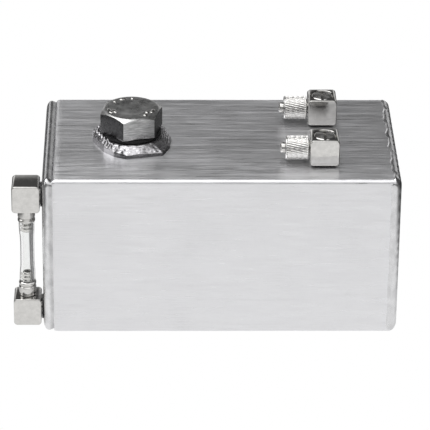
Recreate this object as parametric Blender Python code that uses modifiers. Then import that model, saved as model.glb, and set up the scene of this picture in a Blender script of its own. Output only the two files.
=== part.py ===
"""Small hydraulic oil reservoir.

A rectangular aluminium tube is closed by two welded end plates. A hexagon plug
screws into a welded boss on top, two elbows with knurled hose nuts swivel on
banjo screws beside it, and a clear sight tube joins two more elbows on the left
end. +X runs along the tank, +Z is up, and the origin is the middle of the base.
"""
from math import pi, radians, sqrt, tan

import bmesh
import bpy
from mathutils import Vector

MM = 0.001

# Tank
LENGTH = 100.0 * MM
DEPTH = 54.0 * MM
HEIGHT = 48.0 * MM
WALL = 2.5 * MM
TANK_CORNER = 1.0 * MM
BEAD = 2.7 * MM
BEAD_ROUND = 2.0 * MM
PLATE_THICKNESS = 3.5 * MM

# Clearances
GAP = 0.2 * MM
SEAL_GAP = 0.15 * MM
SEAL_CLEARANCE = 0.5 * MM

# Filler: places are measured up from the tank's top face
FILLER_X = -25.2 * MM
FILLER_Y = -1.3 * MM
BOSS_RADIUS = 9.4 * MM
BOSS_HEIGHT = 2.7 * MM
SPIGOT_RADIUS = 7.4 * MM
SPIGOT_DEPTH = 4.5 * MM
BOSS_BORE = 5.05 * MM
WELD_RADIUS = 12.4 * MM
WELD_TOE = 0.9 * MM
PLUG_SEAL = 0.9 * MM
PLUG_SHANK = 4.8 * MM
PLUG_REACH = 15.0 * MM
HEAD_FLATS = 15.8 * MM
HEAD_HEIGHT = 6.4 * MM
HEAD_CHAMFER_RATIO = 0.95
HEAD_CHAMFER_ANGLE = radians(30)
HEAD_TURN = radians(-14.1)

# Elbow fittings: +Z is the banjo screw's axis, measured from the face it sits on
SEAL = 0.4 * MM
BLOCK_ALONG = 8.2 * MM
BLOCK_ACROSS = 8.0 * MM
BLOCK_TALL = 7.8 * MM
BLOCK_ROUND = 1.0 * MM
BLOCK_BASE = SEAL + 2 * SEAL_GAP
BLOCK_TOP = BLOCK_BASE + BLOCK_TALL
NIPPLE_AXIS = BLOCK_BASE + BLOCK_TALL / 2
SCREW_RADIUS = 1.9 * MM
SCREW_HEAD = 3.0 * MM
SCREW_PROUD = 0.1 * MM
SCREW_REACH = 3.2 * MM
SCREW_BORE = 1.25 * MM
SLOT_WIDTH = 0.8 * MM
SLOT_DEPTH = 0.5 * MM
SINK_RADIUS = 3.3 * MM
SINK_FLOOR = BLOCK_TOP - 1.6 * MM
OUTER_SEAL = 0.3 * MM
HEAD_BASE = SINK_FLOOR + OUTER_SEAL + 2 * SEAL_GAP
HEAD_TOP = BLOCK_TOP + SCREW_PROUD
NECK_START = BLOCK_ALONG / 2 + GAP
INNER_NIPPLE = 1.6 * MM
OIL_BORE = 0.9 * MM

# Hose connections on the top elbows, measured along the nipple from the block's middle
THREAD_RADIUS = 2.5 * MM
THREAD_END = 8.2 * MM
TIP_RADIUS = 1.5 * MM
TIP_END = 12.35 * MM
NUT_RADIUS = 3.3 * MM
NUT_START = 4.45 * MM
NUT_END = 10.95 * MM
NUT_BORE = 2.8 * MM
NUT_WALL = 1.05 * MM
NUT_MOUTH = 2.1 * MM

# Ports, gauge and the pipes inside
PORTS = {"front": (28.8 * MM, -15.2 * MM), "rear": (29.4 * MM, 11.2 * MM)}
PIPE_ENDS = {"suction_pipe": ("front", 5.0 * MM), "return_pipe": ("rear", 26.0 * MM)}
PIPE_RADIUS = 1.0 * MM
PIPE_BORE = 0.65 * MM
PIPE_GRIP = 2.0 * MM
GAUGE_Y = -21.0 * MM
GAUGE_HEIGHTS = {"lower": 5.3 * MM, "upper": 40.9 * MM}
GAUGE_NECK = 2.45 * MM
GAUGE_NECK_END = 8.1 * MM
BARB_RADIUS = 1.4 * MM
BARB_END = 11.2 * MM
HOSE_RADIUS = 2.0 * MM
HOSE_BORE = 1.25 * MM
HOSE_STRETCH = 0.38 * MM
HOSE_FLARE = 4.0 * MM

ROUND_SIDES = 24
WIDE_SIDES = 36

COLOURS = {
    "aluminium": ((0.62, 0.62, 0.63), 0.42, 1.0),
    "weld": ((0.56, 0.56, 0.57), 0.35, 1.0),
    "steel": ((0.30, 0.30, 0.30), 0.38, 1.0),
    "nickel": ((0.66, 0.65, 0.63), 0.22, 1.0),
    "rubber": ((0.012, 0.012, 0.013), 0.55, 0.0),
    "clear_hose": ((0.86, 0.87, 0.86), 0.12, 0.0),
    "brass": ((0.60, 0.42, 0.16), 0.35, 1.0),
}


def clear_scene():
    for obj in list(bpy.data.objects):
        bpy.data.objects.remove(obj, do_unlink=True)


def new_collection(name):
    collection = bpy.data.collections.new(name)
    bpy.context.scene.collection.children.link(collection)
    return collection


def make_materials():
    materials = {}
    for name, (colour, roughness, metallic) in COLOURS.items():
        material = bpy.data.materials.new(name)
        material.use_nodes = True
        shader = material.node_tree.nodes["Principled BSDF"]
        shader.inputs["Base Color"].default_value = (*colour, 1.0)
        shader.inputs["Roughness"].default_value = roughness
        shader.inputs["Metallic"].default_value = metallic
        materials[name] = material
    return materials


clear_scene()
RESERVOIR = new_collection("hydraulic_reservoir")
CUTTERS = new_collection("cutters")
MATERIALS = make_materials()


def frame_at(name, location, rotation=(0, 0, 0), parent=None):
    """An empty that carries the pieces of one fitting."""
    empty = bpy.data.objects.new(name, None)
    empty.location = location
    empty.rotation_euler = rotation
    empty.parent = parent
    RESERVOIR.objects.link(empty)
    return empty


def add_object(name, mesh, material, parent=None, location=(0, 0, 0), rotation=(0, 0, 0)):
    obj = bpy.data.objects.new(name, mesh)
    obj.location = location
    obj.rotation_euler = rotation
    obj.parent = parent
    if material is None:
        obj.hide_render = True
        obj.display_type = "WIRE"
        CUTTERS.objects.link(obj)
    else:
        mesh.materials.append(MATERIALS[material])
        RESERVOIR.objects.link(obj)
    return obj


def box(name, size, material=None, **place):
    """A box centred on its own origin."""
    mesh = bpy.data.meshes.new(name)
    shape = bmesh.new()
    bmesh.ops.create_cube(shape, size=1.0)
    bmesh.ops.scale(shape, vec=Vector(size), verts=shape.verts)
    shape.to_mesh(mesh)
    shape.free()
    return add_object(name, mesh, material, **place)


def turned(name, profile, material=None, sides=ROUND_SIDES, closed=True, **place):
    """A profile of (radius, height) points turned about local Z, outer side first."""
    mesh = bpy.data.meshes.new(name)
    shape = bmesh.new()
    verts = [shape.verts.new((radius, 0, height)) for radius, height in profile]
    ends = verts[1:] + verts[:1] if closed else verts[1:]
    for start, end in zip(verts, ends):
        shape.edges.new((start, end))
    shape.to_mesh(mesh)
    shape.free()
    obj = add_object(name, mesh, material, **place)
    lathe = obj.modifiers.new("lathe", "SCREW")
    lathe.steps = sides
    lathe.render_steps = sides
    lathe.use_merge_vertices = True
    lathe.merge_threshold = 0.00001
    lathe.use_smooth_shade = True
    return obj


def ring(name, inner, outer, bottom, top, material, **place):
    profile = [(inner, top), (outer, top), (outer, bottom), (inner, bottom)]
    return turned(name, profile, material, **place)


def rod(name, radius, bottom, top, **place):
    """A round cutter from bottom to top along local Z."""
    profile = [(0, top), (radius, top), (radius, bottom), (0, bottom)]
    return turned(name, profile, closed=False, **place)


def combine(obj, tool, operation="DIFFERENCE"):
    modifier = obj.modifiers.new(tool.name, "BOOLEAN")
    modifier.operation = operation
    modifier.object = tool
    modifier.solver = "EXACT"


def round_edges(obj, width, chosen=None):
    """Rounds every edge, or only those whose two ends pass the chosen test."""
    bevel = obj.modifiers.new("rounded_edges", "BEVEL")
    bevel.width = width
    bevel.segments = 3
    bevel.limit_method = "WEIGHT" if chosen else "ANGLE"
    if chosen:
        weights = obj.data.attributes.new("bevel_weight_edge", "FLOAT", "EDGE")
        for edge in obj.data.edges:
            start, end = (obj.data.vertices[index].co for index in edge.vertices)
            weights.data[edge.index].value = 1.0 if chosen(start, end) else 0.0
    obj.data.shade_smooth()
    obj.data.set_sharp_from_angle(angle=radians(30))


def tank_shell():
    """The rectangular tube: an open skin thickened inwards, with holes in its top."""
    length = LENGTH - 2 * (BEAD + GAP)
    shell = box("tank_shell", (length, DEPTH, HEIGHT), "aluminium", location=(0, 0, HEIGHT / 2))
    shape = bmesh.new()
    shape.from_mesh(shell.data)
    shape.normal_update()
    ends = [face for face in shape.faces if abs(face.normal.x) > 0.5]
    bmesh.ops.delete(shape, geom=ends, context="FACES_ONLY")
    shape.to_mesh(shell.data)
    shape.free()
    round_edges(shell, TANK_CORNER)
    walls = shell.modifiers.new("walls", "SOLIDIFY")
    walls.thickness = WALL
    walls.offset = -1
    walls.use_even_offset = True
    low = HEIGHT - 2 * WALL
    high = HEIGHT + WALL
    filler = rod("filler_hole", SPIGOT_RADIUS + 1.5 * GAP, low, high, location=(FILLER_X, FILLER_Y, 0))
    combine(shell, filler)
    for side, (x, y) in PORTS.items():
        hole = rod(f"{side}_port_hole", SCREW_RADIUS + GAP, low, high, location=(x, y, 0))
        combine(shell, hole)


def end_plate(side, direction):
    """A plate that plugs into the tube's end, inside the ring of weld."""
    plate = box(
        f"end_plate_{side}",
        (PLATE_THICKNESS, DEPTH - 2 * (WALL + GAP), HEIGHT - 2 * (WALL + GAP)),
        "aluminium",
        location=(direction * (LENGTH - PLATE_THICKNESS) / 2, 0, HEIGHT / 2),
    )
    if side == "left":
        for level, height in GAUGE_HEIGHTS.items():
            hole = rod(
                f"gauge_hole_{level}",
                SCREW_RADIUS + GAP,
                -2 * PLATE_THICKNESS,
                PLATE_THICKNESS,
                location=(-LENGTH / 2, GAUGE_Y, height),
                rotation=(0, -pi / 2, 0),
            )
            combine(plate, hole)


def weld_bead(side, direction):
    """The ring of weld between the tube's end and the plate, rounded on its outside."""
    middle = direction * (LENGTH - BEAD) / 2
    bead = box(f"weld_bead_{side}", (BEAD, DEPTH, HEIGHT), "weld", location=(middle, 0, HEIGHT / 2))

    def reaches_out(start, end):
        return max(start.x * direction, end.x * direction) > 0

    round_edges(bead, BEAD_ROUND, reaches_out)
    inside = (2 * BEAD, DEPTH - 2 * WALL, HEIGHT - 2 * WALL)
    opening = box(f"weld_bead_{side}_opening", inside, location=(middle, 0, HEIGHT / 2))
    combine(bead, opening)


def filler_neck():
    """The boss that the plug screws into, and the weld around it."""
    place = {"location": (FILLER_X, FILLER_Y, HEIGHT), "sides": WIDE_SIDES}
    boss = [
        (BOSS_BORE, BOSS_HEIGHT),
        (BOSS_RADIUS, BOSS_HEIGHT),
        (BOSS_RADIUS, GAP),
        (SPIGOT_RADIUS, GAP),
        (SPIGOT_RADIUS, -SPIGOT_DEPTH),
        (BOSS_BORE, -SPIGOT_DEPTH),
    ]
    turned("filler_boss", boss, "aluminium", **place)
    inner = BOSS_RADIUS + GAP
    crest = BOSS_HEIGHT - GAP
    weld = [
        (inner, crest),
        (inner + GAP, crest),
        (WELD_RADIUS, WELD_TOE + GAP),
        (WELD_RADIUS, GAP),
        (inner, GAP),
    ]
    turned("filler_weld", weld, "weld", **place)


def filler_plug():
    """The hexagon plug, with its sealing ring under the head."""
    under_head = BOSS_HEIGHT + PLUG_SEAL + 2 * SEAL_GAP
    ring(
        "filler_plug_seal",
        PLUG_SHANK + 4 * GAP,
        BOSS_RADIUS - 5 * GAP,
        BOSS_HEIGHT + SEAL_GAP,
        BOSS_HEIGHT + SEAL_GAP + PLUG_SEAL,
        "rubber",
        sides=WIDE_SIDES,
        location=(FILLER_X, FILLER_Y, HEIGHT),
    )
    corner = HEAD_FLATS / sqrt(3)
    mesh = bpy.data.meshes.new("filler_plug")
    shape = bmesh.new()
    bmesh.ops.create_cone(
        shape, cap_ends=True, segments=6, radius1=corner, radius2=corner, depth=HEAD_HEIGHT
    )
    bmesh.ops.translate(shape, verts=shape.verts, vec=(0, 0, HEAD_HEIGHT / 2))
    shape.to_mesh(mesh)
    shape.free()
    place = {"location": (FILLER_X, FILLER_Y, HEIGHT + under_head)}
    plug = add_object("filler_plug", mesh, "steel", rotation=(0, 0, HEAD_TURN), **place)
    top_radius = HEAD_CHAMFER_RATIO * HEAD_FLATS / 2
    rim = 1.5 * corner
    fall = (rim - top_radius) * tan(HEAD_CHAMFER_ANGLE)
    chamfer = [(0, HEAD_HEIGHT), (top_radius, HEAD_HEIGHT), (rim, HEAD_HEIGHT - fall), (rim, 0), (0, 0)]
    dome = turned("plug_head_chamfer", chamfer, closed=False, sides=WIDE_SIDES, **place)
    combine(plug, dome, "INTERSECT")
    point = PLUG_SHANK - 4 * GAP
    shank = [
        (0, HEAD_HEIGHT / 2),
        (PLUG_SHANK, HEAD_HEIGHT / 2),
        (PLUG_SHANK, 4 * GAP - PLUG_REACH),
        (point, -PLUG_REACH),
        (0, -PLUG_REACH),
    ]
    combine(plug, turned("plug_shank", shank, closed=False, sides=WIDE_SIDES, **place), "UNION")


def elbow_seals(prefix, mount):
    """The washers on the two sides of the block: inner against the tank, outer under the screw head."""
    inner = (SCREW_RADIUS + SEAL_CLEARANCE, BLOCK_ACROSS / 2 - SEAL_CLEARANCE)
    outer = (SCREW_RADIUS + GAP, SCREW_HEAD - GAP)
    floor = SINK_FLOOR + SEAL_GAP
    ring(f"{prefix}_inner_seal", *inner, SEAL_GAP, SEAL_GAP + SEAL, "rubber", parent=mount)
    ring(f"{prefix}_outer_seal", *outer, floor, floor + OUTER_SEAL, "rubber", parent=mount)


def banjo_screw(prefix, mount):
    """A slotted screw, drilled up its middle and across at the nipple's height."""
    edge = GAP
    profile = [
        (0, HEAD_TOP),
        (SCREW_HEAD - edge, HEAD_TOP),
        (SCREW_HEAD, HEAD_TOP - edge),
        (SCREW_HEAD, HEAD_BASE),
        (SCREW_RADIUS, HEAD_BASE),
        (SCREW_RADIUS, -SCREW_REACH),
        (SCREW_BORE, -SCREW_REACH),
        (SCREW_BORE, NIPPLE_AXIS + OIL_BORE),
        (0, NIPPLE_AXIS + OIL_BORE),
    ]
    screw = turned(f"{prefix}_banjo_screw", profile, "nickel", closed=False, parent=mount)
    slot_size = (SLOT_WIDTH, 3 * SCREW_HEAD, 2 * SLOT_DEPTH)
    combine(screw, box(f"{prefix}_slot", slot_size, parent=mount, location=(0, 0, HEAD_TOP)))
    cross = rod(
        f"{prefix}_cross_hole",
        OIL_BORE,
        -2 * SCREW_RADIUS,
        2 * SCREW_RADIUS,
        parent=mount,
        location=(0, 0, NIPPLE_AXIS),
        rotation=(0, -pi / 2, 0),
    )
    combine(screw, cross)


def elbow_block(prefix, mount):
    """The square block, bored for the screw and the nipple and sunk for the screw's head."""
    size = (BLOCK_ALONG, BLOCK_ACROSS, BLOCK_TALL)
    block = box(f"{prefix}_block", size, "nickel", parent=mount, location=(0, 0, NIPPLE_AXIS))

    def runs_across(start, end):
        return abs(start.y - end.y) > BLOCK_ACROSS / 2

    round_edges(block, BLOCK_ROUND, runs_across)
    bore = SCREW_RADIUS + 2 * GAP
    profile = [(0, 2 * BLOCK_TOP), (SINK_RADIUS, 2 * BLOCK_TOP), (SINK_RADIUS, SINK_FLOOR), (bore, SINK_FLOOR)]
    profile += [(bore, -BLOCK_BASE), (0, -BLOCK_BASE)]
    combine(block, turned(f"{prefix}_screw_bore", profile, closed=False, parent=mount))
    side = rod(
        f"{prefix}_nipple_bore",
        INNER_NIPPLE + GAP,
        0,
        BLOCK_ALONG,
        parent=mount,
        location=(0, 0, NIPPLE_AXIS),
        rotation=(0, -pi / 2, 0),
    )
    combine(block, side)


def nipple(prefix, mount, outside):
    """A hollow nipple pushed into the block; outside runs from its tip to its neck."""
    inner_end = SCREW_RADIUS + 3.5 * GAP
    profile = [(OIL_BORE, outside[0][1])] + outside
    profile += [(INNER_NIPPLE, NECK_START), (INNER_NIPPLE, inner_end), (OIL_BORE, inner_end)]
    place = {"parent": mount, "location": (0, 0, NIPPLE_AXIS), "rotation": (0, -pi / 2, 0)}
    turned(f"{prefix}_nipple", profile, "nickel", **place)


def hose_nut(side, mount):
    """The knurled nut that clamps a hose, and the ring it pushes along."""
    place = {"parent": mount, "location": (0, 0, NIPPLE_AXIS), "rotation": (0, -pi / 2, 0)}
    profile = [
        (NUT_MOUTH, NUT_END),
        (NUT_RADIUS - GAP, NUT_END),
        (NUT_RADIUS, NUT_END - GAP),
        (NUT_RADIUS, NUT_START + GAP),
        (NUT_RADIUS - GAP, NUT_START),
        (NUT_BORE, NUT_START),
        (NUT_BORE, NUT_END - NUT_WALL),
        (NUT_MOUTH, NUT_END - NUT_WALL),
    ]
    turned(f"knurled_nut_{side}", profile, "nickel", **place)
    top = NUT_END - NUT_WALL - 1.5 * GAP
    inner = TIP_RADIUS + 1.5 * GAP
    ring(f"clamp_ring_{side}", inner, NUT_BORE - GAP, top - SEAL, top, "brass", **place)


def elbow(prefix, mount, outside):
    elbow_seals(prefix, mount)
    banjo_screw(prefix, mount)
    elbow_block(prefix, mount)
    nipple(prefix, mount, outside)


def top_ports():
    outside = [
        (TIP_RADIUS, TIP_END),
        (TIP_RADIUS, THREAD_END + 2 * GAP),
        (THREAD_RADIUS, THREAD_END),
        (THREAD_RADIUS, NECK_START),
    ]
    for side, (x, y) in PORTS.items():
        mount = frame_at(f"{side}_port", (x, y, HEIGHT))
        elbow(f"port_{side}", mount, outside)
        hose_nut(side, mount)


def inner_pipes():
    """The pipes pushed into the bores of the two port screws."""
    for name, (side, end_height) in PIPE_ENDS.items():
        x, y = PORTS[side]
        top = HEIGHT - SCREW_REACH + PIPE_GRIP
        ring(name, PIPE_BORE, PIPE_RADIUS, end_height, top, "brass", location=(x, y, 0))


def sight_gauge():
    """Two elbows on the left end plate, with the clear hose stretched over their barbs."""
    outside = [
        (BARB_RADIUS - GAP, BARB_END),
        (BARB_RADIUS, BARB_END - 2 * GAP),
        (BARB_RADIUS, GAUGE_NECK_END + 2 * GAP),
        (GAUGE_NECK, GAUGE_NECK_END),
        (GAUGE_NECK, NECK_START),
    ]
    turns = {"lower": (pi, pi / 2, 0), "upper": (0, -pi / 2, 0)}
    for level, height in GAUGE_HEIGHTS.items():
        place = (-LENGTH / 2, GAUGE_Y, height)
        elbow(f"gauge_{level}", frame_at(f"{level}_gauge", place, turns[level]), outside)

    middle = sum(GAUGE_HEIGHTS.values()) / 2
    half = (GAUGE_HEIGHTS["upper"] - GAUGE_HEIGHTS["lower"]) / 2 - GAUGE_NECK_END - 1.5 * GAP
    flare = half - HOSE_FLARE
    taper = flare - 1.4 * MM
    outer = [(half, HOSE_STRETCH), (flare, HOSE_STRETCH), (taper, 0)]
    outer += [(-height, extra) for height, extra in reversed(outer)]
    profile = [(HOSE_RADIUS + extra, height) for height, extra in outer]
    profile += [(HOSE_BORE + extra, height) for height, extra in reversed(outer)]
    centre = (-LENGTH / 2 - NIPPLE_AXIS, GAUGE_Y, middle)
    turned("gauge_tube", profile, "clear_hose", location=centre)


tank_shell()
for end, sign in (("left", -1), ("right", 1)):
    end_plate(end, sign)
    weld_bead(end, sign)
filler_neck()
filler_plug()
top_ports()
inner_pipes()
sight_gauge()
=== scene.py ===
"""Looks of the small hydraulic reservoir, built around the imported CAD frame.

Lengths are in metres and are written in millimetres times MM. +X runs along the
tank, -Y is its front and +Z is up. Sizes come from the frame's own boxes, and
every round piece is turned about the axis that those boxes give.
"""
from math import cos, degrees, hypot, pi, radians, sin, sqrt, tan

import bmesh
import bpy
import numpy as np
from mathutils import Matrix, Vector, noise


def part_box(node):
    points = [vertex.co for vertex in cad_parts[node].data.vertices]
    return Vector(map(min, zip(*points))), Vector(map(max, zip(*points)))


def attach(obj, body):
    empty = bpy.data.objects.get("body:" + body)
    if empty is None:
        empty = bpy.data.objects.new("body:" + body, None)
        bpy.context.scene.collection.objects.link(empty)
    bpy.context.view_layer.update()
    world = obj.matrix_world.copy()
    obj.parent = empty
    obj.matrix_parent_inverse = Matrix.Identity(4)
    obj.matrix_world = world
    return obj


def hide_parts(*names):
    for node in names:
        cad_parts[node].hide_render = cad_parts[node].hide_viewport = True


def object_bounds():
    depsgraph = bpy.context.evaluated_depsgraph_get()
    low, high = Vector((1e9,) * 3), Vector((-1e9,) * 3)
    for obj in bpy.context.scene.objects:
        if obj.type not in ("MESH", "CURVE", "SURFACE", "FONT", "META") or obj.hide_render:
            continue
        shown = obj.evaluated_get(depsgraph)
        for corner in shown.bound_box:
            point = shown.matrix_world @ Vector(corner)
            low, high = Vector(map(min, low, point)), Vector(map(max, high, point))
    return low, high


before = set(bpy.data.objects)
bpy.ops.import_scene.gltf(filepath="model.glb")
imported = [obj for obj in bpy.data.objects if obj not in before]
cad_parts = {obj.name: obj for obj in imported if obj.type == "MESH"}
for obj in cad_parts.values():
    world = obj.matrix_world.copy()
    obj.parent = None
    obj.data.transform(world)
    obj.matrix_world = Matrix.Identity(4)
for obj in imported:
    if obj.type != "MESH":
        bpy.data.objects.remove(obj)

MM = 0.001
SCENE = bpy.context.scene
CAD_BOX = [list(corner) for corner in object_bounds()]

# Boxes and axes of the frame that the pieces are built on. The tank is as long to the left as to the right.
SHELL_LOW, SHELL_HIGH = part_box("tank_shell")
TANK_TOP = SHELL_HIGH.z
TANK_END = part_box("end_plate_right")[1].x
NECK_LOW, NECK_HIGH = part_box("filler_boss")
FILLER = Vector(((NECK_LOW.x + NECK_HIGH.x) / 2, (NECK_LOW.y + NECK_HIGH.y) / 2, TANK_TOP))
PLUG_LOW, PLUG_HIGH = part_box("filler_plug")


# ---------------------------------------------------------------- mesh helpers

def new_object(name, mesh, smooth_angle=35):
    """A shown object, shaded smooth except at edges sharper than smooth_angle degrees."""
    obj = bpy.data.objects.new(name, mesh)
    SCENE.collection.objects.link(obj)
    mesh.shade_smooth()
    mesh.set_sharp_from_angle(angle=radians(smooth_angle))
    return obj


def skin(name, rows, place=Matrix(), closed=True, smooth_angle=35):
    """A solid from rings of points. Each ring is closed, and the rings close into a loop or are capped."""
    rows = np.asarray(rows, float)
    count, sides = rows.shape[:2]
    shape = bmesh.new()
    verts = [[shape.verts.new(place @ Vector(point)) for point in row] for row in rows]
    for i in range(count if closed else count - 1):
        here, there = verts[i], verts[(i + 1) % count]
        for j in range(sides):
            k = (j + 1) % sides
            shape.faces.new((here[j], here[k], there[k], there[j]))
    if not closed:
        shape.faces.new(verts[0])
        shape.faces.new(verts[-1])
    bmesh.ops.recalc_face_normals(shape, faces=shape.faces)
    mesh = bpy.data.meshes.new(name)
    shape.to_mesh(mesh)
    shape.free()
    return new_object(name, mesh, smooth_angle)


def soften(points, radius, steps=4, closed=True):
    """The same outline with each corner rounded off."""
    points = [Vector(point) for point in points]
    count = len(points)
    result = []
    for i, corner in enumerate(points):
        if not closed and i in (0, count - 1):
            result.append(corner)
            continue
        before, after = points[i - 1], points[(i + 1) % count]
        reach = min(radius, 0.45 * (before - corner).length, 0.45 * (after - corner).length)
        start = corner + (before - corner).normalized() * reach
        end = corner + (after - corner).normalized() * reach
        for t in np.linspace(0, 1, steps + 1):
            result.append((1 - t) ** 2 * start + 2 * t * (1 - t) * corner + t * t * end)
    return result


def circle(sides):
    return [2 * pi * step / sides for step in range(sides)]


def turned(name, profile, sides=72, place=Matrix(), closed=True):
    """A profile of (radius, height) points turned about local Z."""
    rows = [[(r * cos(a), r * sin(a), z) for a in circle(sides)] for r, z in profile]
    return skin(name, rows, place, closed)


def rounded_bar(name, size, radius, rim, place=Matrix()):
    """A square bar along local Y: its four long edges rounded by radius, its two ends by rim."""
    half_x, half_y, half_z = size[0] / 2, size[1] / 2, size[2] / 2
    near = [
        (rim * (1 - cos(angle)) - half_y, rim * (1 - sin(angle)))
        for angle in np.linspace(0, pi / 2, 5 if rim else 1)
    ]
    far = [(-y, inset) for y, inset in reversed(near)]
    rows = []
    for y, inset in near + far:
        ring = []
        for quarter, (side, level) in enumerate(((1, 1), (-1, 1), (-1, -1), (1, -1))):
            for turn in np.linspace(0, pi / 2, 9):
                angle = pi / 2 * quarter + turn
                x = side * (half_x - radius) + (radius - inset) * cos(angle)
                z = level * (half_z - radius) + (radius - inset) * sin(angle)
                ring.append((x, y, z))
        rows.append(ring)
    return skin(name, rows, place, closed=False)


def combine(obj, tool, operation="DIFFERENCE"):
    """Cuts, joins or intersects two solids for good, and removes the tool."""
    modifier = obj.modifiers.new(operation, "BOOLEAN")
    modifier.operation = operation
    modifier.object = tool
    modifier.solver = "EXACT"
    bpy.context.view_layer.update()
    evaluated = obj.evaluated_get(bpy.context.evaluated_depsgraph_get())
    mesh = bpy.data.meshes.new_from_object(evaluated)
    obj.modifiers.clear()
    obj.data = mesh
    mesh.shade_smooth()
    mesh.set_sharp_from_angle(angle=radians(35))
    bpy.data.objects.remove(tool)


def triangle_wave(phase):
    """From 0 at whole numbers up to 1 at halves."""
    return 1 - abs(2 * (phase - np.floor(phase)) - 1)


def add_piece(obj, body, slot, material, *nodes):
    """Gives a finished piece its material, its body and the CAD nodes it stands for; the slot argument is
    not used.
    """
    obj.data.materials.clear()
    obj.data.materials.append(material)
    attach(obj, body)
    if nodes:
        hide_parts(*nodes)


# ------------------------------------------------------------------- materials

class Finish:
    """A procedural material: a Principled BSDF fed by noise in the object's own space."""

    def __init__(self, name, colour, roughness, metallic=1.0, **sockets):
        self.material = bpy.data.materials.new(name)
        self.material.use_nodes = True
        self.tree = self.material.node_tree
        self.shader = self.tree.nodes["Principled BSDF"]
        self.colour = colour
        self.set("Base Color", (*colour, 1.0))
        self.set("Roughness", roughness)
        self.set("Metallic", metallic)
        for socket, value in sockets.items():
            self.set(socket.replace("_", " "), value)
        self.coordinates = self.tree.nodes.new("ShaderNodeTexCoord").outputs["Object"]

    def set(self, socket, value):
        self.shader.inputs[socket].default_value = value

    def link(self, source, target):
        self.tree.links.new(source, target)

    def position(self, axis):
        """Metres along the object's own X, Y or Z."""
        split = self.tree.nodes.new("ShaderNodeSeparateXYZ")
        self.link(self.coordinates, split.inputs["Vector"])
        return split.outputs[axis]

    def noise(self, grain, detail=3.0, roughness=0.55, distortion=0.0):
        """Noise whose blotches are about the given size in millimetres along X, Y and Z."""
        mapping = self.tree.nodes.new("ShaderNodeMapping")
        mapping.inputs["Scale"].default_value = [1 / (size * MM) for size in grain]
        self.link(self.coordinates, mapping.inputs["Vector"])
        texture = self.tree.nodes.new("ShaderNodeTexNoise")
        texture.inputs["Scale"].default_value = 1.0
        texture.inputs["Detail"].default_value = detail
        texture.inputs["Roughness"].default_value = roughness
        texture.inputs["Distortion"].default_value = distortion
        self.link(mapping.outputs["Vector"], texture.inputs["Vector"])
        return texture.outputs["Fac"]

    def spread(self, source, low, high, start=0.3, end=0.7):
        """Maps a noise value between start and end onto the range low to high."""
        ramp = self.tree.nodes.new("ShaderNodeMapRange")
        ramp.inputs["From Min"].default_value = start
        ramp.inputs["From Max"].default_value = end
        ramp.inputs["To Min"].default_value = low
        ramp.inputs["To Max"].default_value = high
        self.link(source, ramp.inputs["Value"])
        return ramp.outputs["Result"]

    def math(self, operation, first, second):
        node = self.tree.nodes.new("ShaderNodeMath")
        node.operation = operation
        for socket, value in zip(node.inputs, (first, second)):
            if hasattr(value, "is_linked"):
                self.link(value, socket)
            else:
                socket.default_value = value
        return node.outputs["Value"]

    def vary_roughness(self, source, low, high, start=0.3, end=0.7):
        self.link(self.spread(source, low, high, start, end), self.shader.inputs["Roughness"])

    def vary_colour(self, source, dark, light, start=0.3, end=0.7):
        """Mixes the base colour from dark to light, each a multiple of it or a colour of its own."""
        mix = self.tree.nodes.new("ShaderNodeMix")
        mix.data_type = "RGBA"
        pair = [
            [value * part for part in self.colour] if isinstance(value, float) else value
            for value in (dark, light)
        ]
        mix.inputs["A"].default_value = (*pair[0], 1.0)
        mix.inputs["B"].default_value = (*pair[1], 1.0)
        self.link(self.spread(source, 0.0, 1.0, start, end), mix.inputs["Factor"])
        self.link(mix.outputs["Result"], self.shader.inputs["Base Color"])

    def bump(self, source, height):
        """Relief of the given height in metres, added to any relief already there."""
        bump = self.tree.nodes.new("ShaderNodeBump")
        bump.inputs["Strength"].default_value = 1.0
        bump.inputs["Distance"].default_value = height
        self.link(source, bump.inputs["Height"])
        target = self.shader.inputs["Normal"]
        if target.is_linked:
            self.link(target.links[0].from_socket, bump.inputs["Normal"])
        self.link(bump.outputs["Normal"], target)


def brushed_aluminium(name, grain, axis):
    """Grain is the size of a brush stroke along X, Y and Z, and axis is the one it was brushed along."""
    finish = Finish(name, (0.80, 0.80, 0.815), 0.36, Anisotropic=0.8)
    grain_direction = finish.tree.nodes.new("ShaderNodeTangent")
    grain_direction.direction_type = "RADIAL"
    grain_direction.axis = axis
    finish.link(grain_direction.outputs["Tangent"], finish.shader.inputs["Tangent"])
    fine = finish.noise(grain, 4.0, 0.6)
    coarse = finish.noise([4 * size for size in grain], 3.0, 0.5)
    stains = finish.noise((17, 13, 13), 2.0, 0.5)
    strokes = finish.math("ADD", fine, finish.math("MULTIPLY", coarse, 0.6))
    # Painted light: the front face and the front of the top are painted lighter, fading out 10 mm in front
    # of the middle.
    front = finish.spread(finish.position("Y"), 0.8, 0.0, -27 * MM, -10 * MM)
    tone = finish.math("ADD", strokes, finish.math("MULTIPLY", stains, 0.7))
    finish.vary_colour(finish.math("ADD", tone, front), 0.74, 1.12, 0.85, 1.9)
    finish.vary_roughness(strokes, 0.27, 0.42, 0.55, 1.05)
    finish.bump(fine, 0.02 * MM)
    finish.bump(coarse, 0.03 * MM)
    return finish.material


def dressed_weld():
    """The left weld: ground smooth, with painted shade in the groove beside it."""
    finish = Finish("dressed_weld", (0.80, 0.80, 0.81), 0.26)
    marks = finish.noise((0.7, 2.5, 2.5), 4.0)
    finish.vary_roughness(marks, 0.18, 0.34)
    # Painted shade: darker in the groove beside the weld, fading out by x = -48.5 mm.
    painted_groove_shade = finish.spread(finish.position("X"), 0.35, 0.0, -47.7 * MM, -48.5 * MM)
    blotches = finish.noise((2.5, 4.0, 4.0), 2.0)
    finish.vary_colour(finish.math("SUBTRACT", blotches, painted_groove_shade), 0.6, 1.05, 0.0, 0.6)
    finish.bump(marks, 0.015 * MM)
    return finish.material


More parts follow.
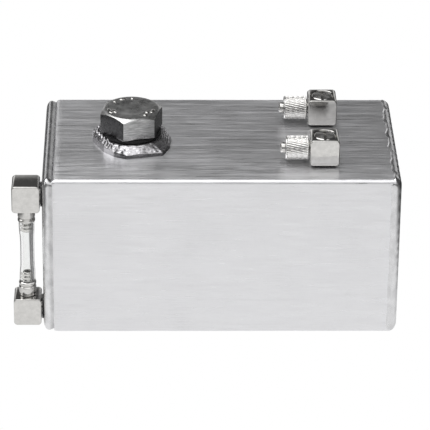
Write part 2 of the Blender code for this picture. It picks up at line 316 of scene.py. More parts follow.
def laid_weld():
    """The right weld: left as laid, smoother than the blobs round the filler."""
    finish = Finish("laid_weld_metal", (0.79, 0.79, 0.80), 0.26)
    melt = finish.noise((2.5, 3.5, 3.5), 3.0, 0.5, 0.3)
    finish.vary_roughness(melt, 0.18, 0.36)
    finish.vary_colour(finish.noise((1.5, 3.0, 3.0), 2.0), 0.84, 1.04)
    finish.bump(melt, 0.03 * MM)
    return finish.material


def shaded_neck_weld():
    """The weld round the filler: painted shade darkens it near the tank, except on its left, where it has
    run and the painted shade is lifted.
    """
    finish = Finish("neck_weld_metal", (0.60, 0.59, 0.61), 0.24)
    melt = finish.noise((2.2, 2.2, 2.2), 4.0, 0.6, 0.6)
    finish.vary_roughness(melt, 0.14, 0.36)
    blotches = finish.math("MULTIPLY", finish.noise((1.1, 1.1, 1.1), 3.0), 0.8 * MM)
    # Painted light: on the left the painted shade is lifted, so that side reads lighter.
    shade_lift_left = finish.spread(finish.position("X"), 1.4 * MM, 0.0, FILLER.x - 7 * MM, FILLER.x - MM)
    height = finish.math("ADD", finish.math("ADD", finish.position("Z"), blotches), shade_lift_left)
    # Painted shade: darker towards the tank, from 1.8 mm down to 0.9 mm above its top.
    finish.vary_colour(height, 0.28, 1.05, TANK_TOP + 0.9 * MM, TANK_TOP + 1.8 * MM)
    finish.bump(melt, 0.10 * MM)
    return finish.material


def ground_steel():
    """The plug: scratched steel, brushed round its sides."""
    finish = Finish("polished_steel", (0.60, 0.60, 0.595), 0.2)
    wear = finish.noise((1.6, 1.6, 0.5), 4.0, 0.65)
    finish.vary_roughness(wear, 0.24, 0.40)
    finish.vary_colour(finish.noise((2.4, 2.4, 0.35), 3.0, 0.6), 0.62, 1.3)
    finish.bump(finish.noise((6.0, 6.0, 0.16), 2.0), 0.012 * MM)
    return finish.material


def painted_shade_steel():
    """Darker steel used as painted shade: on four hex sides of the plug, and on the faces deep in the
    knurls.
    """
    finish = Finish("painted_shade_steel", (0.095, 0.095, 0.097), 0.3)
    wear = finish.noise((1.2, 1.2, 0.8), 4.0, 0.6)
    finish.vary_roughness(wear, 0.22, 0.4)
    finish.vary_colour(wear, 0.7, 1.35)
    finish.bump(wear, 0.006 * MM)
    return finish.material


def nickel_plate():
    """The elbow blocks, screws and nipples."""
    finish = Finish("nickel_plate", (0.71, 0.70, 0.68), 0.12)
    finish.vary_roughness(finish.noise((3.0, 3.0, 3.0), 3.0), 0.08, 0.19)
    finish.vary_colour(finish.noise((1.4, 1.4, 1.4), 3.0), 0.92, 1.05)
    finish.bump(finish.noise((0.6, 0.6, 0.6), 3.0), 0.003 * MM)
    return finish.material


def bright_nickel():
    """The knurled nuts."""
    finish = Finish("bright_nickel", (0.95, 0.94, 0.925), 0.2)
    cloud = finish.noise((1.6, 1.6, 1.6), 3.0)
    finish.vary_roughness(cloud, 0.08, 0.17)
    finish.vary_colour(cloud, 0.9, 1.05)
    finish.bump(finish.noise((0.3, 0.3, 0.3), 2.0), 0.004 * MM)
    return finish.material


def black_rubber():
    finish = Finish("black_rubber", (0.010, 0.010, 0.011), 0.5, metallic=0.0)
    pores = finish.noise((0.35, 0.35, 0.35), 4.0)
    finish.vary_roughness(pores, 0.4, 0.65)
    finish.vary_colour(pores, 0.7, 1.6)
    finish.bump(pores, 0.015 * MM)
    return finish.material


def clear_hose():
    finish = Finish(
        "clear_hose", (0.95, 0.955, 0.95), 0.07, metallic=0.0, Transmission_Weight=1.0, IOR=1.39
    )
    haze = finish.noise((1.2, 1.2, 3.0), 3.0)
    finish.vary_roughness(haze, 0.05, 0.16)
    finish.vary_colour(haze, 0.96, 1.0)
    return finish.material


def yellow_brass():
    """The pipes and clamp rings inside."""
    finish = Finish("yellow_brass", (0.62, 0.44, 0.18), 0.3)
    tarnish = finish.noise((1.0, 1.0, 1.0), 4.0)
    finish.vary_roughness(tarnish, 0.2, 0.42)
    finish.vary_colour(tarnish, 0.7, 1.1)
    finish.bump(tarnish, 0.006 * MM)
    return finish.material


LOOKS = {
    "tank": brushed_aluminium("brushed_aluminium", (7.0, 0.28, 0.28), "X"),
    "plate": brushed_aluminium("brushed_end_plate", (0.28, 6.0, 0.28), "Y"),
    "dressed_weld": dressed_weld(),
    "laid_weld": laid_weld(),
    "neck_weld": shaded_neck_weld(),
    "steel": ground_steel(),
    "painted_shade_steel": painted_shade_steel(),
    "nickel": nickel_plate(),
    "bright_nickel": bright_nickel(),
    "rubber": black_rubber(),
    "hose": clear_hose(),
    "brass": yellow_brass(),
}


def dress(node, look, bevel=0.0):
    """A CAD node that keeps its own shape, with softened edges and a better material."""
    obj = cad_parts[node]
    obj.data.materials.clear()
    obj.data.materials.append(LOOKS[look])
    if bevel:
        edge = obj.modifiers.new("soft_edges", "BEVEL")
        edge.width = bevel
        edge.segments = 3
        edge.limit_method = "ANGLE"
        edge.angle_limit = radians(40)


# ------------------------------------------------------------------- tank body

HALF_DEPTH = (SHELL_HIGH.y - SHELL_LOW.y) / 2
HALF_HEIGHT = (SHELL_HIGH.z - SHELL_LOW.z) / 2
WALL = 2.5 * MM
TUBE_CORNER = 1.1 * MM
SIDE_STEPS = 110
CORNER_STEPS = 9


def outline(inset, radius):
    """(y, z) points and outward directions once round the tank's section, set inwards by inset."""
    corner = max(radius - inset, 0.1 * MM)
    centre = Vector((0, (SHELL_LOW.z + SHELL_HIGH.z) / 2))
    reach = Vector((HALF_DEPTH - inset - corner, HALF_HEIGHT - inset - corner))
    signs = ((1, 1), (-1, 1), (-1, -1), (1, -1))
    arcs = []
    for quarter, (side, level) in enumerate(signs):
        middle = centre + Vector((side * reach.x, level * reach.y))
        for step in range(CORNER_STEPS):
            angle = pi / 2 * (quarter + step / (CORNER_STEPS - 1))
            outward = Vector((cos(angle), sin(angle)))
            arcs.append((middle + corner * outward, outward))
    points = []
    for quarter in range(4):
        arc = arcs[quarter * CORNER_STEPS : (quarter + 1) * CORNER_STEPS]
        points += arc
        start = arc[-1]
        end = arcs[(quarter + 1) * CORNER_STEPS % len(arcs)]
        for step in range(1, SIDE_STEPS):
            points.append((start[0].lerp(end[0], step / SIDE_STEPS), start[1]))
    return points


def unmoved(place, outward):
    """The swell or shift of a ring that is left as it is."""
    return 0.0


def tank_ring(reach, inset, radius, swell=unmoved, shift=unmoved):
    """One ring of the tank's section at x = reach. swell lifts it outwards and shift moves it along X."""
    ring = []
    for place, outward in outline(inset, radius):
        lifted = place + outward * swell(place, outward)
        ring.append((reach + shift(place, outward), lifted.x, lifted.y))
    return ring


def groove_share(outward):
    """How deep the groove beside the left weld is: full on top and below, shallow on the front and back."""
    return 0.12 + 0.88 * abs(outward.y) ** 2


def tank_walls():
    """The tube: a hand-finished skin with its left end eased off beside the weld, and three holes on top."""
    left, right = SHELL_LOW.x, SHELL_HIGH.x + 1.1 * MM
    ease = [(0.0, 0.55), (0.12, 0.36), (0.35, 0.19), (0.65, 0.07), (1.0, 0.0)]
    section = [(left + along * MM, fall * MM) for along, fall in ease]
    section += [(x, 0.0) for x in np.linspace(left + 2 * MM, right, 90)]

    def worn(x, fall):
        def swell(place, outward):
            wave = 0.03 * MM * noise.noise(Vector((x, place.x, place.y)) / (6 * MM))
            return wave - fall * groove_share(outward)

        return swell

    rows = [tank_ring(x, 0.0, TUBE_CORNER, worn(x, fall)) for x, fall in section]
    rows += [tank_ring(x, WALL, TUBE_CORNER) for x in (right, left)]
    walls = skin("tank_walls", rows)
    holes = [(FILLER, 7.7 * MM)]
    holes += [(fitting.origin, 2.1 * MM) for fitting in FITTINGS.values() if fitting.on_top]
    for centre, size in holes:
        hole = [(size, -2 * WALL), (size, WALL)]
        combine(walls, turned("hole", hole, place=Matrix.Translation(centre), closed=False))
    add_piece(walls, "root", "aluminium", LOOKS["tank"], "tank_shell")


BEAD_CORNER = 2.0 * MM
BEAD_INSIDE = 2.55 * MM
# Millimetres from the tank's middle, and millimetres in from its skin, towards the end plate.
BEAD_ROUNDING = ((48.8, 0.03), (49.15, 0.25), (49.45, 0.55), (49.7, 0.95), (49.9, 1.45), (50.0, 2.0))
BEAD_END = ((50.08, 2.5), (50.09, 2.9), (50.05, 3.2), (50.01, 3.35), (50.01, 2.6), (49.6, 2.57))


def along_edge(place, outward):
    """Millimetres along the edge of the end plate."""
    return (place.x if abs(outward.y) > 0.7 else place.y) / MM


def bead_body(side, direction, rows):
    """Closes a bead over the edge of its end plate, and mirrors it for the left end."""
    for x, inset in BEAD_END:
        rows.append(tank_ring(x * MM, inset * MM, BEAD_CORNER))
    bead = skin(f"weld_ring_{side}", rows)
    for vertex in bead.data.vertices:
        vertex.co.x *= direction
    if direction < 0:
        bead.data.flip_normals()
    return bead


def dressed_bead():
    """The left weld, ground smooth, with a groove where it meets the tube."""
    groove = [(46.9, 0.8), (47.1, 0.66), (47.3, 0.58), (47.6, 0.40)]
    groove += [(47.95, 0.19), (48.25, 0.05), (48.5, 0.0)]

    def hand_ground(fall):
        def swell(place, outward):
            wave = noise.noise(Vector((along_edge(place, outward) / 4, 1, outward.y)))
            return 0.05 * MM * wave - fall * MM * groove_share(outward)

        return swell

    rows = [tank_ring(x * MM, BEAD_INSIDE, BEAD_CORNER) for x in (47.9, 47.3)]
    rows.append(tank_ring(47.3 * MM, 1.2 * MM, BEAD_CORNER))
    rows += [tank_ring(x * MM, 0.0, BEAD_CORNER, hand_ground(fall)) for x, fall in groove]
    rows += [tank_ring(x * MM, inset * MM, BEAD_CORNER, hand_ground(0.0)) for x, inset in BEAD_ROUNDING]
    add_piece(bead_body("left", -1, rows), "root", "weld", LOOKS["dressed_weld"], "weld_bead_left")


def laid_bead():
    """The right weld as it was laid, with a wavy lip over the tube."""
    lip = [(47.1, -0.04), (47.13, 0.05), (47.35, 0.18), (47.57, 0.30), (47.8, 0.33), (48.3, 0.22)]

    def waves(place, outward):
        along = along_edge(place, outward)
        wave = 0.27 * sin(2 * pi * along / 10.5 + 2.2 + 0.9 * sin(along / 5.3))
        wave += 0.1 * sin(2 * pi * along / 4.7)
        return (wave + 0.5 * max(outward.y, 0.0)) * MM * (1 - 0.6 * abs(outward.x))

    def half_waves(place, outward):
        return 0.5 * waves(place, outward)

    def laid(rise):
        return lambda place, outward: rise * MM * (1 - 0.6 * abs(outward.x))

    def wobble(place, outward):
        along = along_edge(place, outward)
        return 0.05 * MM * sin(2 * pi * along / 3.1 + 2 * sin(along / 4.1))

    rows = [tank_ring(x * MM, BEAD_INSIDE, BEAD_CORNER) for x in (49.0, 48.3)]
    rows.append(tank_ring(48.3 * MM, 0.05 * MM, BEAD_CORNER))
    for x, rise in lip:
        rows.append(tank_ring(x * MM, 0.0, 1.6 * MM, laid(rise), waves if x < 48 else half_waves))
    for x, inset in BEAD_ROUNDING:
        shift = wobble if inset > 0.5 else unmoved
        rows.append(tank_ring(x * MM, inset * MM, BEAD_CORNER, laid(0.1 * (50 - x)), shift))
    add_piece(bead_body("right", 1, rows), "root", "weld", LOOKS["laid_weld"], "weld_bead_right")


# ---------------------------------------------------------------------- filler

THREAD_PITCH = 1.5 * MM


def thread_ring(z, radius, depth, fade, sides=96):
    """One level of a right-hand screw thread."""
    ring = []
    for angle in circle(sides):
        height = min(1.3 * triangle_wave(z / THREAD_PITCH - angle / (2 * pi)), 1.0)
        reach = radius + depth * fade * height
        ring.append((reach * cos(angle), reach * sin(angle), z))
    return ring


def plain_ring(z, radius, sides=96):
    return [(radius * cos(angle), radius * sin(angle), z) for angle in circle(sides)]


def threaded_neck():
    """The boss in the tank's top, with the thread that the plug screws into."""
    top, bottom = NECK_HIGH.z - TANK_TOP, NECK_LOW.z - TANK_TOP
    flange = (NECK_HIGH.x - NECK_LOW.x) / 2
    spigot, bore, depth = 7.4 * MM, 5.05 * MM, 0.75 * MM
    outside = [(bore + depth, top), (flange, top), (flange, 0.2 * MM), (spigot, 0.2 * MM)]
    outside += [(spigot, bottom), (bore + depth, bottom)]
    rows = [plain_ring(z, radius) for radius, z in soften(outside, 0.25 * MM, closed=False)]
    levels = np.linspace(bottom, top, 62)[1:-1]
    for z in levels:
        fade = min(1.0, (z - bottom) / MM, (top - z) / MM)
        rows.append(thread_ring(z, bore + depth, -depth, fade))
    neck = skin("threaded_neck", rows, Matrix.Translation(FILLER))
    add_piece(neck, "root", "aluminium", LOOKS["plate"], "filler_boss")


# Sizes of the weld in millimetres: it laps over the boss from WELD_LIP and is thickest to WELD_SHOULDER.
BOSS_TOP = (NECK_HIGH.z - TANK_TOP) / MM
WELD_LIP = 8.7
WELD_BORE = 9.6
WELD_SHOULDER = 9.65
WELD_TOP = BOSS_TOP + 0.12
WELD_CORNERS = (
    (0, 11.3),
    (40, 11.4),
    (90, 12.0),
    (130, 12.0),
    (154, 12.6),
    (182, 11.2),
    (223, 10.8),
    (245, 11.6),
    (264, 12.2),
    (312, 13.3),
    (335, 11.9),
)
WELD_LUMPS = (
    # angle and distance in from the rim, then height and width of each blob, in degrees and millimetres
    (162, 1.6, 0.9, 0.9),
    (178, 1.3, 1.1, 0.8),
    (192, 1.2, 0.8, 0.55),
    (203, 1.5, 1.0, 0.6),
    (215, 1.1, 0.8, 0.5),
    (225, 1.3, 0.9, 0.6),
    (237, 1.0, 0.8, 0.55),
    (248, 1.1, 0.7, 0.6),
    (258, 0.9, 0.5, 0.5),
    (130, 1.6, 0.5, 1.1),
    (60, 1.6, 0.4, 1.2),
)


def weld_reach(angle):
    """How far the weld reaches from the filler's axis: straight edges between its corners."""
    corners = [(radians(turn) % (2 * pi), reach) for turn, reach in WELD_CORNERS]
    corners.sort()
    corners.append((corners[0][0] + 2 * pi, corners[0][1]))
    if angle < corners[0][0]:
        angle += 2 * pi
    for (start, near), (end, far) in zip(corners, corners[1:]):
        if start <= angle <= end:
            return near * far * sin(end - start) / (near * sin(angle - start) + far * sin(end - angle))
    return corners[0][1]


def weld_height(radius, reach, melted):
    """Level over the boss, then a slope, then a rim that is wider and rounder where the weld has run."""
    rim = max(1.2, WELD_TOP - 0.75 * (reach - WELD_SHOULDER))
    t = max(radius - WELD_SHOULDER, 0) / (reach - WELD_SHOULDER)
    edge = 0.84 - 0.42 * melted
    if t < edge:
        return rim + (WELD_TOP - rim) * (1 - t / edge)
    return rim * sqrt(max(1 - ((t - edge) / (1 - edge)) ** 2, 0.0))


def weld_relief(spot, radius, angle, melted):
    """Small unevenness of the weld: noise and blobs where it has run, ripples where it was filed flat."""
    relief = (0.08 + 0.3 * melted) * noise.noise(spot / 0.9)
    relief += 0.07 * sin(5.5 * radius * (angle + 0.3 * sin(3 * angle)) / 3) * (1 - melted)
    for turn, inward, lump, width in WELD_LUMPS:
        lump_radius = weld_reach(radians(turn)) - inward
        middle = Vector((lump_radius * cos(radians(turn)), lump_radius * sin(radians(turn)), 0))
        relief += lump * np.exp(-(((spot - middle).length / width) ** 2))
    return relief


def neck_weld():
    """The hand-laid weld round the boss: flat facets on the right and front, melted blobs on the left."""
    steps = 30
    rows = [[] for _ in range(steps + 5)]
    for angle in circle(300):
        reach = weld_reach(angle)
        melted = 0.5 - 0.5 * cos(min(max((degrees(angle) - 120) / 140, 0), 1) * 2 * pi)
        section = []
        for step in range(steps + 1):
            t = step / steps
            radius = WELD_LIP + (reach - WELD_LIP) * t
            spot = Vector((radius * cos(angle), radius * sin(angle), 0))
            fade = min(1.0, 4 * t) * min(1.0, 6 * (1 - t))
            height = weld_height(radius, reach, melted) + fade * weld_relief(spot, radius, angle, melted)
            section.append((radius, max(height, BOSS_TOP + 0.05 if radius < WELD_BORE else 0.02)))
        section += [(reach, 0.01), (WELD_BORE, 0.01)]
        section += [(WELD_BORE, BOSS_TOP + 0.01), (WELD_LIP, BOSS_TOP + 0.01)]
        for row, (radius, height) in zip(rows, section):
            row.append((radius * cos(angle) * MM, radius * sin(angle) * MM, height * MM))
    weld = skin("neck_weld", rows, Matrix.Translation(FILLER), smooth_angle=50)
    add_piece(weld, "root", "weld", LOOKS["neck_weld"], "filler_weld")


HEAD_FLATS = 15.8 * MM
HEAD_HEIGHT = 6.4 * MM
HEAD_TURN = radians(-14.1)
# The turn of the front and back hex sides, the two that get no painted shade.
UNSHADED_SIDE = HEAD_TURN - radians(60)
HEAD_MARKS = (
    # angle and length in degrees, and distance from the middle in millimetres
    (199, 30, 6.5),
    (206, 26, 5.3),
    (140, 8, 6.2),
    (113, 20, 6.3),
    (88, 9, 6.3),
    (-20, 24, 6.4),
    (-33, 16, 5.3),
    (-50, 14, 6.2),
)


def plug_head():
    """The hexagon head: a prism cut to a turned blank with a chamfered rim and a sunken middle."""
    base = Matrix.Translation((FILLER.x, FILLER.y, PLUG_HIGH.z - HEAD_HEIGHT))
    corner = HEAD_FLATS / sqrt(3)
    turn = [radians(60 * side + 30) + HEAD_TURN for side in range(6)]
    rows = [[(corner * cos(a), corner * sin(a), z) for a in turn] for z in (0.0, HEAD_HEIGHT + MM)]
    head = skin("plug_head", rows, base, closed=False)
    edge = head.modifiers.new("worn_edges", "BEVEL")
    edge.width = 0.12 * MM
    edge.segments = 2
    flat = 0.95 * HEAD_FLATS / 2
    rim = 10.5 * MM
    fall = (rim - flat) * tan(radians(30))
    sink = 0.1 * MM
    blank = [(0.05 * MM, HEAD_HEIGHT - sink), (3.2 * MM, HEAD_HEIGHT - sink), (4.8 * MM, HEAD_HEIGHT)]
    blank += [(flat, HEAD_HEIGHT), (rim, HEAD_HEIGHT - fall)]
    blank += [(rim, 0.12 * MM), (9.0 * MM, 0.0), (0.05 * MM, 0.0)]
    blank = soften(blank, 0.3 * MM, closed=False)
    combine(head, turned("blank", blank, 144, base, closed=False), "INTERSECT")
    add_piece(head, "plug", "plug_steel", LOOKS["steel"], "filler_plug")
    head.data.materials.append(LOOKS["painted_shade_steel"])
    # Painted shade: of the six hex sides only the front and back ones, facing along ground, keep the plain
    # steel; the other four get the darker steel.
    ground = Vector((cos(UNSHADED_SIDE), sin(UNSHADED_SIDE), 0))
    for face in head.data.polygons:
        face.material_index = int(abs(face.normal.z) < 0.3 and abs(face.normal.dot(ground)) < 0.9)


def head_marks():
    """Plain raised dashes on the head, in a ring, as forged heads have."""
    place = Matrix.Translation((FILLER.x, FILLER.y, PLUG_HIGH.z))
    half_width, height = 0.58, 0.26
    for number, (turn, length, middle) in enumerate(HEAD_MARKS):
        rows = []
        steps = 14
        for step in range(steps + 1):
            t = 2 * step / steps - 1
            width = half_width * max(1 - t ** 4, 0.08)
            angle = radians(turn + length / 2 * t)
            ring = []
            for side in circle(12):
                radius = middle + width * cos(side)
                lift = height * sin(side) * max(1 - t ** 4, 0.1)
                ring.append((radius * cos(angle) * MM, radius * sin(angle) * MM, lift * MM))
            rows.append(ring)
        mark = skin(f"head_mark_{number}", rows, place, closed=False)
        add_piece(mark, "plug", "plug_steel", LOOKS["nickel"])


def plug_thread():
    """The plug's screw thread, from its point up to the head."""
    base = Vector((FILLER.x, FILLER.y, PLUG_HIGH.z - HEAD_HEIGHT))
    length = base.z - PLUG_LOW.z
    outer, depth, point = 4.8 * MM, 0.8 * MM, 1.2 * MM
    rows = [plain_ring(-length, 0.5 * MM), plain_ring(-length, outer - 1.3 * MM)]
    for z in np.linspace(-length, 0, 130)[1:]:
        fade = min(1.0, (z + length) / point, -z / (0.8 * MM))
        root = outer - depth - 0.5 * MM * max(0.0, 1 - (z + length) / point)
        rows.append(thread_ring(z, root, depth, max(fade, 0.0)))
    thread = skin("plug_thread", rows, Matrix.Translation(base), closed=False)
    add_piece(thread, "plug", "plug_steel", LOOKS["steel"])


# --------------------------------------------------------------- elbow fittings

class Fitting:
    """Where an elbow is: +Z runs out of the face along its screw, and the nipple runs along -X."""

    def __init__(self, name, body, along, across, out, face):
        self.name = name
        self.body = body
        low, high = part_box(f"{name}_block")
        self.centre = (low + high) / 2
        out = Vector(out)
        shift = face - self.centre.dot(out)
        self.origin = self.centre + out * shift
        self.on_top = out.z > 0
        axes = Matrix((along, across, out)).transposed()
        self.place = Matrix.Translation(self.origin) @ axes.to_4x4()
        self.block_middle = -shift
        middle = self.place @ Matrix.Translation((0, 0, self.block_middle))
        self.bore = middle @ Matrix.Rotation(-pi / 2, 4, "Y")


def find_fittings():
    return {
        "front": Fitting("port_front", "front_elbow", (1, 0, 0), (0, 1, 0), (0, 0, 1), TANK_TOP),
        "rear": Fitting("port_rear", "rear_elbow", (1, 0, 0), (0, 1, 0), (0, 0, 1), TANK_TOP),
        "lower": Fitting("gauge_lower", "root", (0, 0, -1), (0, -1, 0), (-1, 0, 0), TANK_END),
        "upper": Fitting("gauge_upper", "root", (0, 0, 1), (0, 1, 0), (-1, 0, 0), TANK_END),
    }


FITTINGS = find_fittings()
BLOCK = Vector((8.2, 8.0, 7.8)) * MM
SCREW_HEAD = 3.0 * MM
SCREW_SHANK = 1.9 * MM
SEAT_RADIUS = 3.3 * MM
SEAT_DEPTH = 1.6 * MM


def elbow_block(fitting):
    """The square block with its sunk screw seat and the bore that holds the nipple."""
    middle = fitting.place @ Matrix.Translation((0, 0, fitting.block_middle))
    block = rounded_bar(f"{fitting.name}_elbow", BLOCK, 1.0 * MM, 0.28 * MM, middle)
    top = fitting.block_middle + BLOCK.z / 2
    bottom = fitting.block_middle - BLOCK.z / 2
    seat, lip, bore = SEAT_RADIUS, 0.12 * MM, SCREW_SHANK + 0.4 * MM
    profile = [(seat + 2 * lip, top + lip), (seat, top - lip), (seat, top - SEAT_DEPTH)]
    profile += [(bore, top - SEAT_DEPTH), (bore, bottom - MM)]
    combine(block, turned("screw_bore", profile, place=fitting.place, closed=False))
    side = [(1.8 * MM, 0.0), (1.8 * MM, BLOCK.x)]
    combine(block, turned("nipple_bore", side, place=fitting.bore, closed=False))
    add_piece(block, fitting.body, "nickel", LOOKS["nickel"], f"{fitting.name}_block")


def banjo_screw(fitting):
    """A slotted screw sunk in its seat, with the grooves of the lathe on its head."""
    surface = fitting.block_middle + BLOCK.z / 2
    top, base = surface + 0.1 * MM, surface - MM
    profile = []
    for step in range(49):
        radius = 0.05 * MM + (SCREW_HEAD - 0.3 * MM) * step / 48
        groove = 0.045 * MM * (0.5 + 0.5 * cos(2 * pi * step / 8)) * min(step / 6, 1)
        profile.append((radius, top - 0.1 * MM * (radius / SCREW_HEAD) ** 2 - groove))
    profile += [(SCREW_HEAD - 0.12 * MM, top - 0.2 * MM), (SCREW_HEAD, top - 0.35 * MM), (SCREW_HEAD, base)]
    profile += [(SCREW_SHANK, base), (SCREW_SHANK, -3.2 * MM), (0.5 * MM, -3.2 * MM)]
    screw = turned(f"{fitting.name}_screw", profile, 72, fitting.place, closed=False)
    width, depth = 0.8 * MM, 0.9 * MM
    cut = fitting.place @ Matrix.Translation((0, 0, top))
    slot = rounded_bar("slot", (width, 3 * SCREW_HEAD, 2 * depth), 0.05 * MM, 0.0, cut)
    combine(screw, slot)
    add_piece(screw, "root", "nickel", LOOKS["nickel"], f"{fitting.name}_banjo_screw")


def stem(fitting, outside):
    """The hollow nipple. outside runs from its tip back to the block."""
    bore = 0.7 * MM
    inner_end = 2.6 * MM
    inside = [(1.6 * MM, 4.3 * MM), (1.6 * MM, inner_end), (bore, inner_end)]
    profile = [(bore, outside[0][1])] + outside + inside
    nipple = turned(f"{fitting.name}_stem", soften(profile, 0.12 * MM, 3), 72, fitting.bore)
    add_piece(nipple, fitting.body, "nickel", LOOKS["nickel"], f"{fitting.name}_nipple")


def port_stems():
    """Threaded for the nut, then a hose spigot with two barbs and a chamfered tip."""
    thread = []
    for turn in range(7):
        z = 8.1 - 0.5 * turn
        thread += [(2.5, z), (2.25, z - 0.25)]
    barbs = [(1.1, 12.35), (1.5, 12.0), (1.5, 10.9), (1.35, 10.7), (1.5, 9.7), (1.35, 9.4), (1.5, 8.6)]
    outside = [(radius * MM, z * MM) for radius, z in barbs + thread + [(2.5, 4.6), (2.5, 4.3)]]
    for side in ("front", "rear"):
        stem(FITTINGS[side], outside)


def gauge_stems():
    """A plain neck with a groove and a collar, then the barbs that the clear hose is pushed over."""
    neck = [(2.1, 8.4), (2.45, 8.1), (2.45, 7.5), (2.15, 7.25), (2.15, 6.95), (2.45, 6.7), (2.45, 4.3)]
    barbs = [(1.2, 11.4), (1.47, 11.0), (1.47, 10.4), (1.2, 10.3)]
    barbs += [(1.47, 9.9), (1.47, 9.3), (1.2, 9.2), (1.47, 8.8), (1.47, 8.6)]
    outside = [(radius * MM, z * MM) for radius, z in barbs + neck]
    for level in ("lower", "upper"):
        stem(FITTINGS[level], outside)


KNURL_TEETH = 29
KNURL_ANGLE = radians(14)
KNURL_DEPTH = 0.4 * MM
NUT_RADIUS = 3.3 * MM
NUT_START, NUT_END = 4.45 * MM, 10.95 * MM
NUT_RIM = 0.35 * MM


def knurl_ring(z, sides):
    """One ring of the nut's skin: two crossing families of helical grooves, faded out at both ends."""
    pitch = 2 * pi * NUT_RADIUS / KNURL_TEETH
    lean = z * tan(KNURL_ANGLE)
    from_start = (z - NUT_START - 0.1 * MM) / (0.3 * MM)
    from_rim = (NUT_END - NUT_RIM - z) / (0.2 * MM)
    inside = min(max(from_start, 0), max(from_rim, 0), 1.0)
    edge = min((z - NUT_START) / (0.3 * MM), (NUT_END - z) / (0.25 * MM), 1.0)
    ring = []
    for angle in circle(sides):
        left = triangle_wave((NUT_RADIUS * angle + lean) / pitch)
        right = triangle_wave((NUT_RADIUS * angle - lean) / pitch)
        groove = 1 - min(2.0 * min(right, left + 0.3), 1.0)
        radius = NUT_RADIUS - KNURL_DEPTH * groove * inside - 0.2 * MM * (1 - edge)
        ring.append((radius * cos(angle), radius * sin(angle), z))
    return ring


def shade_knurl_grooves(nut, place):
    """Painted shade: darker steel on the faces that lie deep in the knurl."""
    nut.data.materials.append(LOOKS["painted_shade_steel"])
    axis = place.inverted()
    for face in nut.data.polygons:
        middle = axis @ face.center
        sunk = NUT_RADIUS - hypot(middle.x, middle.y) > 0.72 * KNURL_DEPTH
        face.material_index = int(sunk and NUT_START + 0.4 * MM < middle.z < NUT_END - NUT_RIM)


def hose_nut(side):
    """The knurled nut, with a plain rim and a bore."""
    fitting = FITTINGS[side]
    bore, mouth = 2.8 * MM, 2.1 * MM
    sides, levels = 12 * KNURL_TEETH, 84
    chamfered = [(bore, NUT_START + 0.02 * MM), (bore + 0.1 * MM, NUT_START)]
    chamfered.append((NUT_RADIUS - 0.35 * MM, NUT_START))
    rows = [plain_ring(z, radius, sides) for radius, z in chamfered]
    for z in np.linspace(NUT_START + 0.15 * MM, NUT_END - 0.12 * MM, levels):
        rows.append(knurl_ring(z, sides))
    wall = NUT_END - 1.05 * MM
    closing = [(NUT_RADIUS - 0.3 * MM, NUT_END), (mouth + 0.15 * MM, NUT_END)]
    closing += [(mouth, NUT_END - 0.15 * MM), (mouth, wall), (bore, wall)]
    rows += [plain_ring(z, radius, sides) for radius, z in closing]
    nut = skin(f"hose_nut_{side}", rows, fitting.bore, smooth_angle=45)
    add_piece(nut, f"{side}_nut", "nickel", LOOKS["bright_nickel"], f"knurled_nut_{side}")
    shade_knurl_grooves(nut, fitting.bore)


def sight_hose():
    """The clear hose: stretched over the barbs at both ends and very slightly bowed."""
    low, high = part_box("gauge_tube")
    centre = (low + high) / 2
    half = (high.z - low.z) / 2
    bow = Vector((0.12, -0.1, 0)) * MM
    rows = []
    levels = np.linspace(-1, 1, 61)
    for inside in (False, True):
        for t in levels[::-1] if inside else levels:
            stretch = 0.22 * MM / (1 + np.exp(-(abs(t) * half / MM - 5.6) * 1.6))
            radius = 1.25 * MM + 0.9 * stretch if inside else 2.0 * MM + stretch
            tuck = 0.12 * MM if abs(t) > 0.985 and not inside else 0.0
            middle = centre + bow * (1 - t * t) + Vector((0, 0, half * t))
            ring = [
                (middle.x + (radius - tuck) * cos(a), middle.y + (radius - tuck) * sin(a), middle.z)
                for a in circle(48)
            ]
            rows.append(ring)
    hose = skin("sight_hose", rows)
    add_piece(hose, "root", "clear_hose", LOOKS["hose"], "gauge_tube")


# ------------------------------------------------------------- put it together

tank_walls()
dressed_bead()
laid_bead()
for end in ("left", "right"):
    dress(f"end_plate_{end}", "plate", 0.3 * MM)
threaded_neck()
neck_weld()
plug_head()
head_marks()
plug_thread()
dress("filler_plug_seal", "rubber", 0.15 * MM)
for fitting in FITTINGS.values():
    elbow_block(fitting)
    banjo_screw(fitting)
    dress(f"{fitting.name}_inner_seal", "rubber", 0.1 * MM)
    dress(f"{fitting.name}_outer_seal", "rubber", 0.05 * MM)
port_stems()
gauge_stems()
for port in ("front", "rear"):
    hose_nut(port)
    dress(f"clamp_ring_{port}", "brass", 0.05 * MM)
sight_hose()
for pipe in ("suction_pipe", "return_pipe"):
    dress(pipe, "brass", 0.05 * MM)


# ------------------------------------------------------ stage, light and camera

DIM_SKY = 0.07
SKY = (
    # direction of the middle of each soft light, its full and its last degree, and its strength
    ((0.0, -0.45, 0.89), 18, 40, 1.15),
    ((0.0, -0.90, 0.40), 20, 50, 0.08),
    ((0.49, -0.75, 0.45), 8, 25, 0.45),
    ((-0.36, 0.16, 0.92), 13, 32, 2.4),
    ((-0.72, 0.12, 0.68), 6, 20, 1.2),
    ((-0.95, -0.12, 0.28), 6, 20, 1.3),
    ((-0.44, 0.89, 0.08), 8, 20, 0.5),
    ((-0.1, 0.98, 0.02), 8, 22, 0.5),
    ((0.42, 0.90, 0.05), 8, 22, 0.55),
)
FLOOR_AHEAD, FLOOR_BEHIND = 0.88, 0.2


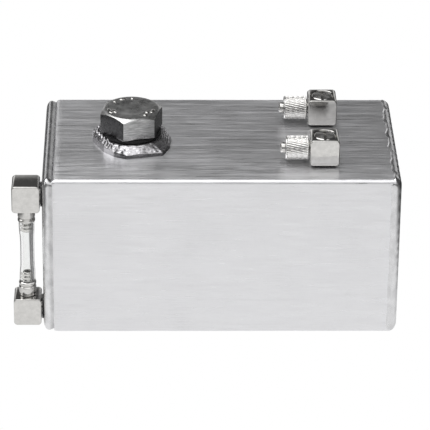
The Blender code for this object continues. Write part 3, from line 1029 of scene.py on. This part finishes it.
def floor_paint():
    """White to the eye. In reflections it is bright ahead of the tank and falls off behind and beside it."""
    paint = bpy.data.materials.new("white_floor")
    paint.use_nodes = True
    tree = paint.node_tree
    shader = tree.nodes["Principled BSDF"]
    shader.inputs["Base Color"].default_value = (0, 0, 0, 1)
    shader.inputs["Specular IOR Level"].default_value = 0.0
    shader.inputs["Emission Color"].default_value = (1, 1, 1, 1)

    def operate(operation, first, second):
        node = tree.nodes.new("ShaderNodeMath")
        node.operation = operation
        tree.links.new(first, node.inputs[0])
        if isinstance(second, float):
            node.inputs[1].default_value = second
        else:
            tree.links.new(second, node.inputs[1])
        return node.outputs["Value"]

    def fade(source, start, end, low, high):
        node = tree.nodes.new("ShaderNodeMapRange")
        node.interpolation_type = "SMOOTHSTEP"
        for socket, value in (("From Min", start), ("From Max", end), ("To Min", low), ("To Max", high)):
            node.inputs[socket].default_value = value
        tree.links.new(source, node.inputs["Value"])
        return node.outputs["Result"]

    split = tree.nodes.new("ShaderNodeSeparateXYZ")
    tree.links.new(tree.nodes.new("ShaderNodeTexCoord").outputs["Object"], split.inputs["Vector"])
    ahead = fade(split.outputs["Y"], -35 * MM, 25 * MM, FLOOR_AHEAD, FLOOR_BEHIND)
    beside = fade(operate("ABSOLUTE", split.outputs["X"], 0.0), 85 * MM, 145 * MM, 1.0, 0.15)
    mirrored = operate("MULTIPLY", ahead, beside)
    rays = tree.nodes.new("ShaderNodeLightPath")
    seen = operate("MAXIMUM", rays.outputs["Is Camera Ray"], rays.outputs["Is Transmission Ray"])
    tree.links.new(operate("MAXIMUM", seen, mirrored), shader.inputs["Emission Strength"])
    return paint


def studio():
    """A plain white floor, and a soft sky: bright in front and overhead, dim behind."""
    shape = bmesh.new()
    bmesh.ops.create_grid(shape, x_segments=1, y_segments=1, size=2.5)
    mesh = bpy.data.meshes.new("floor")
    shape.to_mesh(mesh)
    shape.free()
    floor = bpy.data.objects.new("floor", mesh)
    floor.location = (0, 0, CAD_BOX[0][2] - 0.2 * MM)
    SCENE.collection.objects.link(floor)
    mesh.materials.append(floor_paint())

    world = bpy.data.worlds.new("studio")
    SCENE.world = world
    world.use_nodes = True
    tree = world.node_tree
    background = tree.nodes["Background"]
    background.inputs["Color"].default_value = (1, 1, 1, 1)
    direction = tree.nodes.new("ShaderNodeTexCoord").outputs["Generated"]
    total = None
    for aim, inner, outer, strength in SKY:
        dot = tree.nodes.new("ShaderNodeVectorMath")
        dot.operation = "DOT_PRODUCT"
        dot.inputs[1].default_value = Vector(aim).normalized()
        tree.links.new(direction, dot.inputs[0])
        patch = tree.nodes.new("ShaderNodeMapRange")
        patch.interpolation_type = "SMOOTHSTEP"
        patch.inputs["From Min"].default_value = cos(radians(outer))
        patch.inputs["From Max"].default_value = cos(radians(inner))
        patch.inputs["To Max"].default_value = strength
        tree.links.new(dot.outputs["Value"], patch.inputs["Value"])
        step = tree.nodes.new("ShaderNodeMath")
        step.operation = "ADD"
        step.inputs[1].default_value = DIM_SKY
        if total is not None:
            tree.links.new(total, step.inputs[1])
        tree.links.new(patch.outputs["Result"], step.inputs[0])
        total = step.outputs["Value"]
    tree.links.new(total, background.inputs["Strength"])


def camera():
    """A long lens, a little to the left of the middle and 27 degrees above it."""
    yaw, rise, roll = radians(1.47), radians(27.11), radians(0.68)
    target = Vector((-1.19, 0.0, 23.58)) * MM
    distance = 873 * MM
    forward = Vector((sin(yaw) * cos(rise), cos(yaw) * cos(rise), -sin(rise)))
    level = Vector((cos(yaw), -sin(yaw), 0))
    upward = level.cross(forward)
    right = cos(roll) * level + sin(roll) * upward
    top = -sin(roll) * level + cos(roll) * upward
    data = bpy.data.cameras.new("camera")
    data.lens = 253.5
    data.sensor_width = 36
    data.clip_start = 10 * MM
    obj = bpy.data.objects.new("camera", data)
    SCENE.collection.objects.link(obj)
    axes = Matrix((right, top, -forward)).transposed().to_4x4()
    obj.matrix_world = Matrix.Translation(target - forward * distance) @ axes
    SCENE.camera = obj


studio()
camera()
SCENE.view_settings.view_transform = "Standard"
